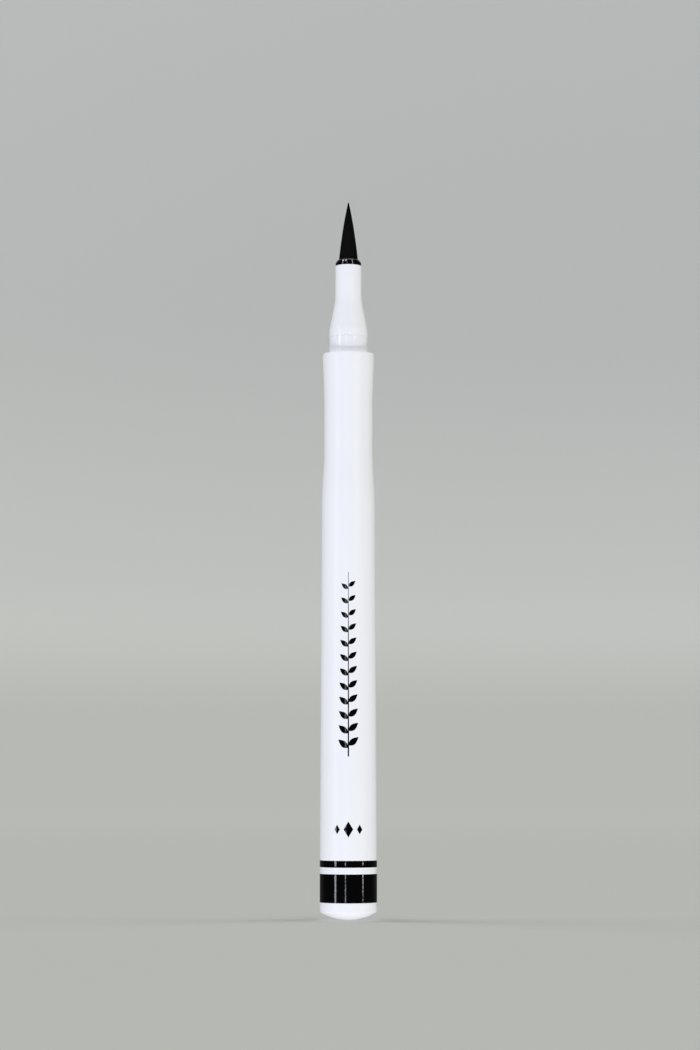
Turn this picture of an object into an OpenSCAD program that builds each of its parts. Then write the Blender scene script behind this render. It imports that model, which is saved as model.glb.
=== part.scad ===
// Liquid eyeliner pen of the free-ink kind, standing on its tail with the nib up.
// Lengths are in millimetres. The origin is the lowest point of the domed tail,
// and +Z runs along the axis towards the nib.
// Outlines are half sections, with points as [radius, height].

/* [Barrel] */
// Outside diameter of the straight rear stretch
barrel_d = 10.4; // [10:0.1:11.6]
// Length from the tail plug's seam to the front rim
barrel_len = 100.4; // [96:0.2:120]
// Length of the straight rear stretch, before the long taper starts
straight_len = 11; // [10:0.5:30]
// Outside diameter at the start of the finger waist
shoulder_d = 9.76; // [9.4:0.02:9.96]
// Outside diameter in the finger waist
waist_d = 8.92; // [8.7:0.02:9.2]
// Outside diameter at the front rim
rim_d = 9.42; // [9.3:0.02:9.8]
// Length of the flare between the waist and the rim
flare_len = 9.6; // [6:0.2:12]
// Length of the waist's narrowest stretch
waist_len = 8.4; // [4:0.2:10]
// Length of the slope from the shoulder down to the waist
slope_len = 10; // [6:0.2:14]
// Wall thickness in the finger waist
waist_wall = 0.72; // [0.6:0.02:0.84]
// Wall thickness round the tail plug's spigot
tail_wall = 0.75; // [0.6:0.05:0.95]
// Width of the ledge on which the tank stopper rests
ledge_w = 0.35; // [0.25:0.05:0.6]
// Depth of the front bore, from the rim down to the ledge
front_bore_depth = 33.6; // [31:0.2:40]
// Depth of the mouth that takes the tail plug's spigot
tail_bore_depth = 6.2; // [5.6:0.1:9]

/* [Tail] */
// Height of the domed end
dome_h = 1.47; // [0.8:0.05:2.4]
// Height of the straight edge between the dome and the seam
tail_edge_len = 1.73; // [1.2:0.05:4]
// Length of the spigot inside the barrel
spigot_len = 5.8; // [5:0.1:6]
// Wall thickness of the hollow spigot
spigot_wall = 1; // [0.9:0.05:1.3]
// Thickness of the end wall at the axis
end_wall = 2; // [1.4:0.1:2.6]
// Rise of the dished floor from the axis to its edge
dish_h = 0.8; // [0.4:0.1:1.2]
// Thickness of the seal ring's section
seal_t = 0.6; // [0.4:0.05:0.7]

/* [Bands] */
// Width of the wide band
wide_band_w = 5.15; // [3:0.05:6]
// Width of the narrow band
narrow_band_w = 1.26; // [0.8:0.02:1.8]
// Width of the barrel's own stretch between the bands
band_gap_w = 1.2; // [0.8:0.05:1.8]
// Thickness of both bands
band_t = 0.25; // [0.15:0.01:0.35]

/* [Front section] */
// Diameter of the neck on which a cap seats
neck_d = 7.14; // [6.9:0.02:7.4]
// Length of the neck's seat
neck_seat_len = 1.8; // [1.2:0.1:4]
// Length of the round-bottomed snap groove between the rim and the seat
snap_len = 1.3; // [1:0.1:2.4]
// Depth of the snap groove
snap_depth = 0.1; // [0.04:0.01:0.2]
// Diameter of the bell where its cone starts
bell_d = 7.02; // [6.8:0.02:7.08]
// Height of the bell, from the neck to the sleeve
bell_len = 8.4; // [7:0.1:11]
// Length of the bell's foot, from the neck's seat to the cone
bell_foot_len = 1.3; // [1:0.1:2.5]
// Depth of the fine step between the neck's seat and the bell's foot
bell_step = 0.03; // [0.01:0.01:0.06]
// Diameter of the sleeve round the tip holder
sleeve_d = 4.82; // [4.6:0.02:5.2]
// Length of the sleeve above the bell
sleeve_len = 5; // [3:0.1:8]
// Wall thickness of the sleeve
sleeve_wall = 0.5; // [0.4:0.02:0.55]
// Wall thickness of the skirt inside the barrel
skirt_wall = 0.55; // [0.45:0.05:0.65]
// Thickness of the flange let into the barrel's rim
rim_flange_t = 0.8; // [0.6:0.1:1.2]
// Width of that flange beyond the skirt
rim_flange_w = 0.4; // [0.3:0.05:0.5]

/* [Tip] */
// Largest diameter of the nib, where it leaves the tip holder
nib_d = 3.54; // [3.2:0.02:3.7]
// Length of the nib in front of the tip holder
nib_len = 10.9; // [8:0.1:14]
// Diameter of the nib's shank
shank_d = 2.5; // [2.2:0.05:2.6]
// Length of the nib's shank inside the tip holder
shank_len = 7.6; // [6:0.1:8.4]
// Diameter of the tip holder's collar
collar_d = 4.74; // [4.5:0.02:4.8]
// Height of the tip holder's collar
collar_h = 1.1; // [0.8:0.05:1.5]
// Height of the bevel round the top of the collar
collar_bevel = 0.55; // [0.3:0.05:0.7]
// Width of the flat land between that bevel and the nib
collar_land = 0.3; // [0.1:0.01:0.35]
// Depth to which the nib is let into the collar
nib_inset = 0.6; // [0.4:0.05:0.75]
// Length of the tip holder's stem inside the sleeve
stem_len = 9; // [8.5:0.1:10]
// Number of vent grooves along the stem
vent_count = 4; // [2:1:6]

/* [Collector] */
// Thickness of one fin
fin_t = 0.34; // [0.25:0.01:0.4]
// Distance from one fin to the next
fin_pitch = 0.76; // [0.7:0.02:1]
// Number of fins in a group, the first of which is a full-width baffle
fins_per_group = 8; // [5:1:12]
// Diameter of the core tube that carries the fins
tube_d = 3; // [2.6:0.1:3.6]
// Width of the capillary slit
slit_w = 0.2; // [0.15:0.01:0.3]
// Width of the air notch in the fins
notch_w = 1.1; // [0.8:0.1:1.6]
// Diameter of the nose that reaches through the tank stopper
nose_d = 3.7; // [3.5:0.05:3.8]
// Height of the tank stopper
stopper_h = 3.5; // [2.5:0.1:5]

/* [Ink feed] */
// Diameter of the feed core
core_d = 1.5; // [1.2:0.05:1.6]
// Length of the feed core that stands out into the tank
core_reach = 1; // [0.5:0.1:3]
// Depth of the nib's socket for the feed core
socket_depth = 3; // [2:0.1:4]
// Diameter of the mixing ball
ball_d = 4; // [3:0.1:4.4]

/* [Fits] */
// Radial gap between pieces that are pressed together
press_gap = 0.02; // [0.01:0.01:0.04]
// Radial gap between pieces that slide into place
slide_gap = 0.05; // [0.03:0.01:0.08]
// Gap that keeps loose faces clear of each other
clear_gap = 0.3; // [0.2:0.05:0.4]
// Height of the snap beads that lock the skirt and the spigot
bead_h = 0.1; // [0.05:0.01:0.12]
// Bevel on edges and lead-ins
bevel = 0.2; // [0.1:0.02:0.25]

/* [Hidden] */
$fn = 96;
// Steps in each curved stretch of an outline
curve_steps = 10;
// What a cut runs past the faces that it opens
overrun = 0.5;

// Radii that several pieces share
barrel_r = barrel_d / 2;
waist_r = waist_d / 2;
rim_r = rim_d / 2;
front_bore_r = waist_r - waist_wall;
tank_bore_r = front_bore_r - ledge_w;
tail_bore_r = barrel_r - band_t - tail_wall;
groove_r = barrel_r - band_t;
core_r = core_d / 2;
core_hole_r = core_r + slide_gap;
ball_r = ball_d / 2;

// Heights up the barrel, from the tail's lowest point
seam_z = dome_h + tail_edge_len;
rim_z = seam_z + barrel_len;
wide_band_top_z = seam_z + wide_band_w;
narrow_band_z = wide_band_top_z + band_gap_w;
narrow_band_top_z = narrow_band_z + narrow_band_w;
taper_z = seam_z + straight_len;
waist_top_z = rim_z - flare_len;
waist_z = waist_top_z - waist_len;
shoulder_z = waist_z - slope_len;
ledge_z = rim_z - front_bore_depth;
tail_bore_z = seam_z + tail_bore_depth;

// Tail plug: the spigot, its cup and the seal ring's groove half way up
spigot_r = tail_bore_r - press_gap;
cup_r = spigot_r - spigot_wall;
spigot_top_z = seam_z + spigot_len;
dome_r = (barrel_r * barrel_r + dome_h * dome_h) / (2 * dome_h);
seal_squeeze_share = 0.8;
seal_groove_r = tail_bore_r - seal_squeeze_share * seal_t;
seal_z = seam_z + spigot_len / 2;
bead_len = 4 * bead_h;
spigot_bead_z = spigot_top_z - 2 * bead_len;

// Front section: the skirt, the rim flange, the neck, the bell and the sleeve
// Distance of the skirt's snap bead from the rim flange
skirt_bead_drop = 5;
// Lengths of the turns at the foot and the head of the bell's cone, as shares of its height
bell_foot_share = 0.06;
bell_head_share = 0.33;
skirt_r = front_bore_r - press_gap;
skirt_bore_r = skirt_r - skirt_wall;
flange_r = skirt_r + rim_flange_w;
flange_z = rim_z - rim_flange_t;
neck_r = neck_d / 2;
bell_r = bell_d / 2;
sleeve_r = sleeve_d / 2;
sleeve_bore_r = sleeve_r - sleeve_wall;
seat_z = rim_z + snap_len;
bell_z = seat_z + neck_seat_len;
sleeve_z = bell_z + bell_len;
sleeve_top_z = sleeve_z + sleeve_len;
skirt_bead_z = flange_z - skirt_bead_drop;
bell_foot_z = bell_z + bell_foot_len;
bell_foot_turn = bell_foot_share * bell_len / 2;
bell_head_turn = bell_head_share * bell_len / 2;
throat_z = sleeve_top_z - stem_len - clear_gap;

// Tank stopper and collector
stopper_top_z = ledge_z + stopper_h;
nose_r = nose_d / 2;
nose_hole_r = nose_r + press_gap;
lip_h = stopper_h / 3;
// Thickness of the collector's foot, which lies on the stopper, and of its head
comb_foot_t = 1.2;
comb_head_t = 1.6;
comb_foot_top_z = stopper_top_z + comb_foot_t;
comb_top_z = flange_z;
comb_head_z = comb_top_z - comb_head_t;
comb_foot_r = front_bore_r - slide_gap;
comb_head_r = skirt_bore_r - press_gap;
baffle_r = skirt_bore_r - slide_gap;
fin_r = baffle_r - clear_gap;
tube_r = tube_d / 2;
nose_end_z = ledge_z - lip_h / 2;
skirt_end_z = comb_foot_top_z + clear_gap;
fin_count = floor((comb_head_z - comb_foot_top_z) / fin_pitch) - 1;
fin_start_z = (comb_foot_top_z + comb_head_z - (fin_count - 1) * fin_pitch - fin_t) / 2;
throat_r = skirt_bore_r - 2 * clear_gap;
notch_floor_r = (tube_r + fin_r) / 2;

// Tip holder, nib and feed core
collar_r = collar_d / 2;
collar_top_z = sleeve_top_z + collar_h;
nib_r = nib_d / 2;
nib_seat_z = collar_top_z - nib_inset;
nib_top_z = collar_top_z + nib_len;
shank_r = shank_d / 2;
shank_z = nib_seat_z - shank_len;
shank_hole_r = shank_r + press_gap;
nib_hole_r = nib_r + press_gap;
stem_r = sleeve_bore_r - press_gap;
stem_z = sleeve_top_z - stem_len;
vent_w = stem_r / 4;
vent_depth = (stem_r - shank_hole_r) / 2;
// The nib's control point, as shares of its length and radius, and its blunt point's share
nib_curve_shares = [0.62, 0.58];
nib_point_share = 0.04;
core_z = nose_end_z - core_reach;
core_top_z = shank_z + socket_depth;

// Mixing ball: it rests in the dished floor and rises until it is just below the feed core
ball_z = end_wall + slide_gap + ball_r;
ball_travel = core_z - slide_gap - ball_r - ball_z;

// Smooth turn from a to c, pulled towards b
function turn(a, b, c) = [
    for (i = [0:curve_steps])
        let (t = i / curve_steps)
            (1 - t) * (1 - t) * a + 2 * t * (1 - t) * b + t * t * c
];

// Gentle slope from a to b that starts and ends along the axis
function slope(a, b) = [
    for (i = [0:curve_steps])
        let (t = i / curve_steps)
            [a.x + (b.x - a.x) * (1 - cos(180 * t)) / 2, a.y + (b.y - a.y) * t]
];

// Snap bead, or its groove, round a wall of radius r from height z upwards
function bead(r, z, h) = [
    [r, z],
    [r + h, z + bead_len / 3],
    [r + h, z + 2 * bead_len / 3],
    [r, z + bead_len]
];

// The points of an outline in reverse order
function backwards(points) = [for (i = [len(points) - 1:-1:0]) points[i]];

module revolve(outline) {
    rotate_extrude()
        polygon(outline);
}

module ring(inner_r, outer_r, z, h) {
    revolve([[inner_r, z], [outer_r, z], [outer_r, z + h], [inner_r, z + h]]);
}

// Outside of the barrel, from the seam to the rim, with the seats of both bands
function barrel_outside() = concat(
    [
        [groove_r, seam_z],
        [groove_r, wide_band_top_z],
        [barrel_r, wide_band_top_z],
        [barrel_r, narrow_band_z],
        [groove_r, narrow_band_z],
        [groove_r, narrow_band_top_z],
        [barrel_r, narrow_band_top_z],
        [barrel_r, taper_z]
    ],
    slope([shoulder_d / 2, shoulder_z], [waist_r, waist_z]),
    slope([waist_r, waist_top_z], [rim_r, rim_z - bevel]),
    [[rim_r - bevel / 2, rim_z]]
);

// Bore of the barrel: tail mouth, tank, ledge, front bore and the rim flange's recess
function barrel_bore() = concat(
    [[tail_bore_r, seam_z]],
    bead(tail_bore_r, spigot_bead_z, bead_h),
    [
        [tail_bore_r, tail_bore_z],
        [tank_bore_r, tail_bore_z],
        [tank_bore_r, ledge_z],
        [front_bore_r, ledge_z]
    ],
    bead(front_bore_r, skirt_bead_z, bead_h),
    [
        [front_bore_r, flange_z],
        [flange_r + press_gap, flange_z],
        [flange_r + press_gap, rim_z]
    ]
);

module barrel() {
    color("whitesmoke")
        revolve(concat(barrel_outside(), backwards(barrel_bore())));
}

// Domed end, cut from a ball of the dome's radius
module tail_dome() {
    rotate_extrude()
        intersection() {
            translate([0, dome_r])
                circle(r = dome_r);
            square([barrel_r, seam_z]);
        }
}

module tail_plug() {
    color("white")
        difference() {
            union() {
                tail_dome();
                revolve(concat(
                    [
                        [0, seam_z - end_wall / 4],
                        [spigot_r, seam_z - end_wall / 4],
                        [spigot_r, seal_z - seal_t / 2],
                        [seal_groove_r, seal_z - seal_t / 2],
                        [seal_groove_r, seal_z + seal_t / 2],
                        [spigot_r, seal_z + seal_t / 2]
                    ],
                    bead(spigot_r, spigot_bead_z, bead_h),
                    [
                        [spigot_r, spigot_top_z - bevel],
                        [spigot_r - bevel, spigot_top_z],
                        [0, spigot_top_z]
                    ]
                ));
            }
            revolve(concat(
                turn([0, end_wall], [cup_r / 2, end_wall], [cup_r, end_wall + dish_h]),
                [
                    [cup_r, spigot_top_z - bevel],
                    [cup_r + bevel, spigot_top_z + overrun],
                    [0, spigot_top_z + overrun]
                ]
            ));
        }
}

// Rubber ring, squeezed between the spigot's groove and the barrel's bore
module tail_seal() {
    color("dimgray")
        rotate_extrude()
            intersection() {
                translate([(seal_groove_r + tail_bore_r) / 2, seal_z])
                    circle(d = seal_t);
                translate([seal_groove_r, seal_z - seal_t / 2])
                    square([tail_bore_r - seal_groove_r, seal_t]);
            }
}

module wide_band() {
    color("black")
        ring(groove_r, barrel_r, seam_z, wide_band_w);
}

module narrow_band() {
    color("black")
        ring(groove_r, barrel_r, narrow_band_z, narrow_band_w);
}

// Outside of the front section: skirt, rim flange, snap groove, neck seat, bell and sleeve
function section_outside() = let (
    foot_start = [neck_r - bell_step, bell_z],
    foot_corner = [bell_r, bell_foot_z],
    head_corner = [sleeve_r, sleeve_z - bell_head_turn],
    foot_lean = (foot_start - foot_corner) / bell_foot_len,
    lean = (foot_corner - head_corner) / (head_corner.y - foot_corner.y)
) concat(
    [
        [skirt_r - bevel, skirt_end_z],
        [skirt_r, skirt_end_z + bevel]
    ],
    bead(skirt_r, skirt_bead_z, bead_h),
    [
        [skirt_r, flange_z],
        [flange_r, flange_z],
        [flange_r, rim_z],
        [neck_r, rim_z]
    ],
    turn(
        [neck_r, rim_z + bevel],
        [neck_r - 2 * snap_depth, (rim_z + seat_z) / 2],
        [neck_r, seat_z]
    ),
    [
        [neck_r, bell_z - bell_step],
        foot_start
    ],
    turn(
        foot_corner + foot_lean * bell_foot_turn,
        foot_corner,
        foot_corner - lean * bell_foot_turn
    ),
    turn(head_corner + lean * bell_head_turn, head_corner, [sleeve_r, sleeve_z]),
    [
        [sleeve_r, sleeve_top_z - bevel / 2],
        [sleeve_r - bevel / 2, sleeve_top_z]
    ]
);

module front_section() {
    color("whitesmoke")
        revolve(concat(
            section_outside(),
            [
                [sleeve_bore_r, sleeve_top_z],
                [sleeve_bore_r, throat_z],
                [throat_r, comb_top_z],
                [skirt_bore_r, comb_top_z],
                [skirt_bore_r, skirt_end_z]
            ]
        ));
}

// Black collar with a grooved stem, bored for the nib's shank
module tip_holder() {
    color("black")
        difference() {
            revolve([
                [shank_hole_r, stem_z],
                [stem_r - bevel, stem_z],
                [stem_r, stem_z + bevel],
                [stem_r, sleeve_top_z],
                [collar_r, sleeve_top_z],
                [collar_r, collar_top_z - collar_bevel],
                [nib_hole_r + collar_land, collar_top_z],
                [nib_hole_r, collar_top_z],
                [nib_hole_r, nib_seat_z],
                [shank_hole_r, nib_seat_z]
            ]);
            for (turn_angle = [0:360 / vent_count:359])
                rotate([0, 0, turn_angle])
                    translate([stem_r - vent_depth, -vent_w / 2, stem_z - overrun])
                        cube([vent_depth + overrun, vent_w, stem_len + overrun]);
        }
}

// Pointed nib of bonded fibre, with a shank that is bored for the feed core
module fibre_tip() {
    color("black")
        revolve(concat(
            [
                [0, core_top_z],
                [core_hole_r, core_top_z],
                [core_hole_r, shank_z],
                [shank_r - bevel, shank_z],
                [shank_r, shank_z + bevel],
                [shank_r, nib_seat_z],
                [nib_r, nib_seat_z]
            ],
            turn(
                [nib_r, collar_top_z],
                [nib_curve_shares[0] * nib_r, collar_top_z + nib_curve_shares[1] * nib_len],
                [nib_point_share * nib_r, nib_top_z]
            ),
            [[0, nib_top_z]]
        ));
}

// Ring that closes the tank round the collector's nose, with a thin lip at its foot
module tank_stopper() {
    color("lightgray")
        revolve([
            [nose_hole_r, ledge_z],
            [front_bore_r - press_gap, ledge_z],
            [front_bore_r - press_gap, stopper_top_z - bevel],
            [front_bore_r - press_gap - bevel, stopper_top_z],
            [nose_hole_r + 2 * bevel, stopper_top_z],
            [nose_hole_r, ledge_z + lip_h]
        ]);
}

// Half section of the collector: nose, foot, every fin on its core tube, and head
function collector_outside() = concat(
    [
        [nose_r - bevel, nose_end_z],
        [nose_r, nose_end_z + bevel],
        [nose_r, stopper_top_z],
        [comb_foot_r, stopper_top_z],
        [comb_foot_r, comb_foot_top_z],
        [tube_r, comb_foot_top_z]
    ],
    [
        for (i = [0:fin_count - 1])
            let (
                z = fin_start_z + i * fin_pitch,
                r = i % fins_per_group == 0 ? baffle_r : fin_r
            )
                each [[tube_r, z], [r, z], [r, z + fin_t], [tube_r, z + fin_t]]
    ],
    [
        [tube_r, comb_head_z],
        [comb_head_r, comb_head_z],
        [comb_head_r, comb_top_z]
    ]
);

// Cut from radius r outwards, w wide, between two heights
module radial_cut(r, w, z, top_z) {
    translate([r, -w / 2, z])
        cube([front_bore_r + overrun - r, w, top_z - z]);
}

module collector() {
    color("gainsboro")
        difference() {
            revolve(concat(
                [[core_hole_r, nose_end_z]],
                collector_outside(),
                [[core_hole_r, comb_top_z]]
            ));
            // Capillary slit, from the nose through the foot and every fin
            radial_cut(0, slit_w, nose_end_z - overrun, comb_head_z);
            // Air notches: wide in the fins, narrow in the baffles and the head
            rotate([0, 0, 180]) {
                radial_cut(notch_floor_r, notch_w / 3, comb_foot_top_z, comb_top_z + overrun);
                for (i = [0:fins_per_group:fin_count - 1])
                    let (z = fin_start_z + i * fin_pitch + (fin_t + fin_pitch) / 2)
                        radial_cut(
                            notch_floor_r,
                            notch_w,
                            z,
                            min(z + (fins_per_group - 1) * fin_pitch, comb_head_z)
                        );
            }
        }
}

module feed_core() {
    color("lightsteelblue")
        revolve([
            [0, core_z],
            [core_r - bevel, core_z],
            [core_r, core_z + bevel],
            [core_r, core_top_z],
            [0, core_top_z]
        ]);
}

module mixing_ball() {
    color("silver")
        translate([0, 0, ball_z])
            sphere(d = ball_d);
}

barrel();
tail_plug();
tail_seal();
wide_band();
narrow_band();
front_section();
tip_holder();
fibre_tip();
tank_stopper();
collector();
feed_core();
mixing_ball();
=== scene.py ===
"""Liquid eyeliner pen, uncapped: the looks of every piece, its soft studio and its camera.

Lengths are in metres and worked out in millimetres times MM. Outlines are half sections,
with points as (radius, height), and each turned piece is made from one of them.
"""

import math

import bmesh
import bpy
from bpy.props import FloatProperty, FloatVectorProperty, IntProperty, PointerProperty
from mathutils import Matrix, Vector, noise


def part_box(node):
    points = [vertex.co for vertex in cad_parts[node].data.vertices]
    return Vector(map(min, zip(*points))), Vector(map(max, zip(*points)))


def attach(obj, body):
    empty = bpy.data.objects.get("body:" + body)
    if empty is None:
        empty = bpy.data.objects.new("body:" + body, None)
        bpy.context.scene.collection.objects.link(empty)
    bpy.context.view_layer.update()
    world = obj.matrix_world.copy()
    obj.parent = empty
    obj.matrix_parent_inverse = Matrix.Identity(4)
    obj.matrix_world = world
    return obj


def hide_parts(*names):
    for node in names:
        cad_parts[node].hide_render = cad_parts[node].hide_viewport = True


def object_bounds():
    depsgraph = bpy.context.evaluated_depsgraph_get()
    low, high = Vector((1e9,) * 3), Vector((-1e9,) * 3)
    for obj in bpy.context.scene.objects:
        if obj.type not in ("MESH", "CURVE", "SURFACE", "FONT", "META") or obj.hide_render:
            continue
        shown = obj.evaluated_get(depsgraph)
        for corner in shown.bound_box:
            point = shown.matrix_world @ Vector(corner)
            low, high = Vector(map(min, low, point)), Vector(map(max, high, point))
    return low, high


bl_info = {
    "name": "Liquid eyeliner pen",
    "version": (1, 0, 0),
    "blender": (4, 5, 0),
    "location": "3D View > Sidebar > Pen",
    "description": "Dresses an uncapped liquid eyeliner pen and sets its studio",
    "category": "Object",
}

MM = 0.001
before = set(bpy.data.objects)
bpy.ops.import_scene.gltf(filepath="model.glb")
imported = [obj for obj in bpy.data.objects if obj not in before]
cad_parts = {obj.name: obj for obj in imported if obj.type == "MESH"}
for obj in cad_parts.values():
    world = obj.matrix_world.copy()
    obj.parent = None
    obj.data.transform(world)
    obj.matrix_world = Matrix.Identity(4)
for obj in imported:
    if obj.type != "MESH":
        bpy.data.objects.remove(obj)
CAD_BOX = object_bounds()

# Tints of the lamps: two bluish, one nearly white and two yellowish
COOL = (0.95, 0.97, 1.0)
COLD = (0.81, 0.86, 1.0)
WARM = (1.0, 0.985, 0.955)
MILD = (1.0, 0.98, 0.72)
PALE = (1.0, 1.0, 0.86)

# Painted light and shade on the paper sweep, as its height in metres and a share of its colour: darker
# on the floor, paler where it turns up
SWEEP_PAINTED_LIGHT = ((0.0, 0.92), (0.07, 0.945), (0.2, 1.17), (0.33, 1.2), (0.55, 1.155), (0.9, 1.135))

# What the frame says of each piece: heights up the axis, and outside radii
BARREL_LOW, BARREL_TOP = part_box("barrel")
TAIL_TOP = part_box("tail_plug")[1]
WIDE_LOW, WIDE_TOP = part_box("wide_band")
NARROW_LOW, NARROW_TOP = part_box("narrow_band")
SECTION_LOW, SECTION_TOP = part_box("front_section")
HOLDER_LOW, HOLDER_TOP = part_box("tip_holder")
NIB_LOW, NIB_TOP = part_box("fibre_tip")
STOPPER_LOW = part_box("tank_stopper")[0]
CORE_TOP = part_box("feed_core")[1]

# Edges round the axis on a turned piece, and steps in an outline's curves and its small corners
TURNED_SIDES = 160
CURVE_STEPS = 14
ARC_STEPS = 5

# Points that are nearer to each other than this count as one
SAME_POINT = 1e-7

# Edges whose faces turn by more than this stay sharp
SHARP_TURN = math.radians(32)


def length(name, description, millimetres):
    """A size in the panel, given in millimetres and kept in metres."""
    return FloatProperty(
        name=name, description=description, default=millimetres * MM, min=0, unit="LENGTH"
    )


def srgb(code):
    """Linear red, green, blue and alpha of a hex colour."""

    def linear(value):
        return value / 12.92 if value <= 0.04045 else ((value + 0.055) / 1.055) ** 2.4

    parts = [int(code[i : i + 2], 16) / 255 for i in (0, 2, 4)]
    return (*(linear(part) for part in parts), 1.0)


def colour(name, description, code):
    """A colour in the panel, given as its sRGB hex value."""
    return FloatVectorProperty(
        name=name, description=description, default=srgb(code), size=4, min=0, max=1, subtype="COLOR"
    )


class PenSizes(bpy.types.PropertyGroup):
    straight_len: length("Straight stretch", "Length of the barrel before its taper starts", 11)
    shoulder_d: length("Shoulder", "Diameter at the start of the finger waist", 9.76)
    waist_d: length("Waist", "Diameter in the finger waist", 8.92)
    rim_d: length("Rim", "Diameter of the barrel's front rim", 9.42)
    flare_len: length("Flare", "Length of the flare between waist and rim", 9.6)
    waist_len: length("Waist length", "Length of the waist's narrowest stretch", 8.4)
    slope_len: length("Slope", "Length of the slope from the shoulder to the waist", 10)
    front_bore_d: length("Front bore", "Diameter of the barrel's front bore", 7.48)
    tank_bore_d: length("Tank bore", "Diameter of the ink tank", 6.78)
    tail_bore_d: length("Tail bore", "Diameter of the mouth for the tail plug", 8.4)
    tail_bore_depth: length("Tail bore depth", "Depth of the mouth for the tail plug", 6.2)
    band_t: length("Band thickness", "Thickness of both bands", 0.25)
    dome_h: length("Dome", "Height of the tail's domed end", 1.47)
    spigot_wall: length("Spigot wall", "Wall of the tail plug's hollow spigot", 1)
    end_wall: length("End wall", "Thickness of the tail plug's end at the axis", 2)
    dish_h: length("Dish", "Rise of the tail plug's dished floor", 0.8)
    seal_t: length("Seal groove", "Width of the seal ring's groove", 0.6)
    flange_d: length("Rim flange", "Diameter of the flange let into the barrel's rim", 8.24)
    flange_t: length("Rim flange thickness", "Thickness of that flange", 0.8)
    neck_d: length("Neck", "Diameter of the neck on which a cap seats", 7.14)
    snap_len: length("Snap groove", "Height of the shallow groove above the rim", 1.3)
    snap_depth: length("Snap depth", "Depth of that groove", 0.1)
    seat_len: length("Neck seat", "Length of the neck's seat", 1.8)
    bell_d: length("Bell", "Diameter of the bell where its cone starts", 7.02)
    bell_len: length("Bell height", "Height of the bell", 8.4)
    bell_foot_len: length("Bell foot", "Length of the bell's foot below its cone", 1.3)
    bell_step: length("Bell step", "Depth of the fine step between the seat and the bell's foot", 0.03)
    part_line: length("Parting line", "Depth and half height of the fine groove at that step", 0.07)
    sleeve_d: length("Sleeve", "Diameter of the sleeve round the tip holder", 4.82)
    sleeve_wall: length("Sleeve wall", "Wall of that sleeve", 0.5)
    skirt_wall: length("Skirt wall", "Wall of the skirt inside the barrel", 0.55)
    nib_d: length("Nib", "Diameter of the nib where it leaves the collar", 3.54)
    nib_inset: length("Nib inset", "Depth to which the nib is let into the collar", 0.6)
    shank_d: length("Shank", "Diameter of the nib's shank", 2.5)
    collar_bevel: length("Collar bevel", "Height of the bevel round the top of the collar", 0.55)
    collar_land: length("Collar land", "Width of the flat land between that bevel and the nib", 0.3)
    collar_break: length("Collar break", "Length of the narrow break between bevel and land", 0.22)
    fibre: length("Fibre", "Width of one fibre strand on the nib", 0.11)
    fibre_depth: length("Fibre depth", "Depth of the lines between the strands", 0.014)
    edge: length("Broken edge", "Radius left on a moulded edge", 0.08)
    fit: length("Fit", "Gap between pressed pieces", 0.02)
    print_t: length("Print thickness", "Height of the printed ornament above the barrel", 0.004)
    sprig_low: length("Sprig foot", "Height at which the printed sprig starts", 29.5)
    sprig_top: length("Sprig tip", "Height at which the printed sprig ends", 62.9)
    sprig_w: length("Sprig width", "Width that the sprig's leaves are scaled to", 3.7)
    lozenge_rise: length("Lozenges", "Height of the row of lozenges above the tail", 16.4)
    lozenge_gap: length("Lozenge spacing", "From the middle lozenge to the next ones", 2.1)
    lozenge_w: length("Lozenge width", "Width of the middle lozenge", 1.7)
    lozenge_h: length("Lozenge height", "Height of the middle lozenge", 2.8)


class PenColours(bpy.types.PropertyGroup):
    white: colour("White plastic", "Barrel, tail plug and front section", "EBEDF3")
    black: colour("Black gloss", "Bands, ornament and collar", "030304")
    fibre: colour("Inked fibre", "The nib, soaked in ink", "060607")
    natural: colour("Natural plastic", "Collector and tank stopper", "DDE0DE")
    rubber: colour("Rubber", "Seal ring", "2B2B2D")
    steel: colour("Steel", "Mixing ball", "C9CACC")
    backdrop: colour("Backdrop", "Floor and sweep", "D4D7D7")


class PenStage(bpy.types.PropertyGroup):
    eye_distance: length("Camera distance", "From the camera to the pen's axis", 512.2)
    eye_height: length("Camera height", "Above the tail's lowest point", 23.8)
    eye_side: length("Camera side step", "To the right of the pen's axis", 0.29)
    eye_pitch: FloatProperty(
        name="Camera tilt",
        description="Upward tilt of the camera",
        default=math.radians(5.37),
        subtype="ANGLE",
    )
    lens: FloatProperty(name="Lens", description="Focal length in millimetres", default=96)
    seed: IntProperty(name="Seed", description="Seed of the small irregularities", default=7)


def bend(a, b, c, steps=CURVE_STEPS):
    """Smooth turn from a to c, pulled towards b."""
    points = []
    for i in range(steps + 1):
        t = i / steps
        points.append(tuple(
            (1 - t) ** 2 * p + 2 * t * (1 - t) * q + t * t * r for p, q, r in zip(a, b, c)
        ))
    return points


def slope(a, b):
    """Gentle slope from a to b that starts and ends along the axis."""
    points = []
    steps = 2 * CURVE_STEPS
    for i in range(steps + 1):
        t = i / steps
        ease = (1 - math.cos(math.pi * t)) / 2
        points.append((a[0] + (b[0] - a[0]) * ease, a[1] + (b[1] - a[1]) * t))
    return points


def corner(before, at, after, radius):
    """A corner of an outline, rounded with about that radius."""
    start = Vector(at) + (Vector(before) - Vector(at)).normalized() * radius
    end = Vector(at) + (Vector(after) - Vector(at)).normalized() * radius
    return bend(tuple(start), at, tuple(end), ARC_STEPS)


def rounded(points, radius, which):
    """The outline with the corners whose numbers are in which rounded."""
    outline = []
    for i, point in enumerate(points):
        if i in which:
            outline += corner(points[i - 1], point, points[(i + 1) % len(points)], radius)
        else:
            outline.append(point)
    return outline


def without_repeats(outline):
    """The outline without points that lie on the one before."""
    kept = []
    for point in outline:
        if not kept or math.dist(point, kept[-1]) > SAME_POINT:
            kept.append(point)
    if math.dist(kept[0], kept[-1]) <= SAME_POINT:
        kept.pop()
    return kept


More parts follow.
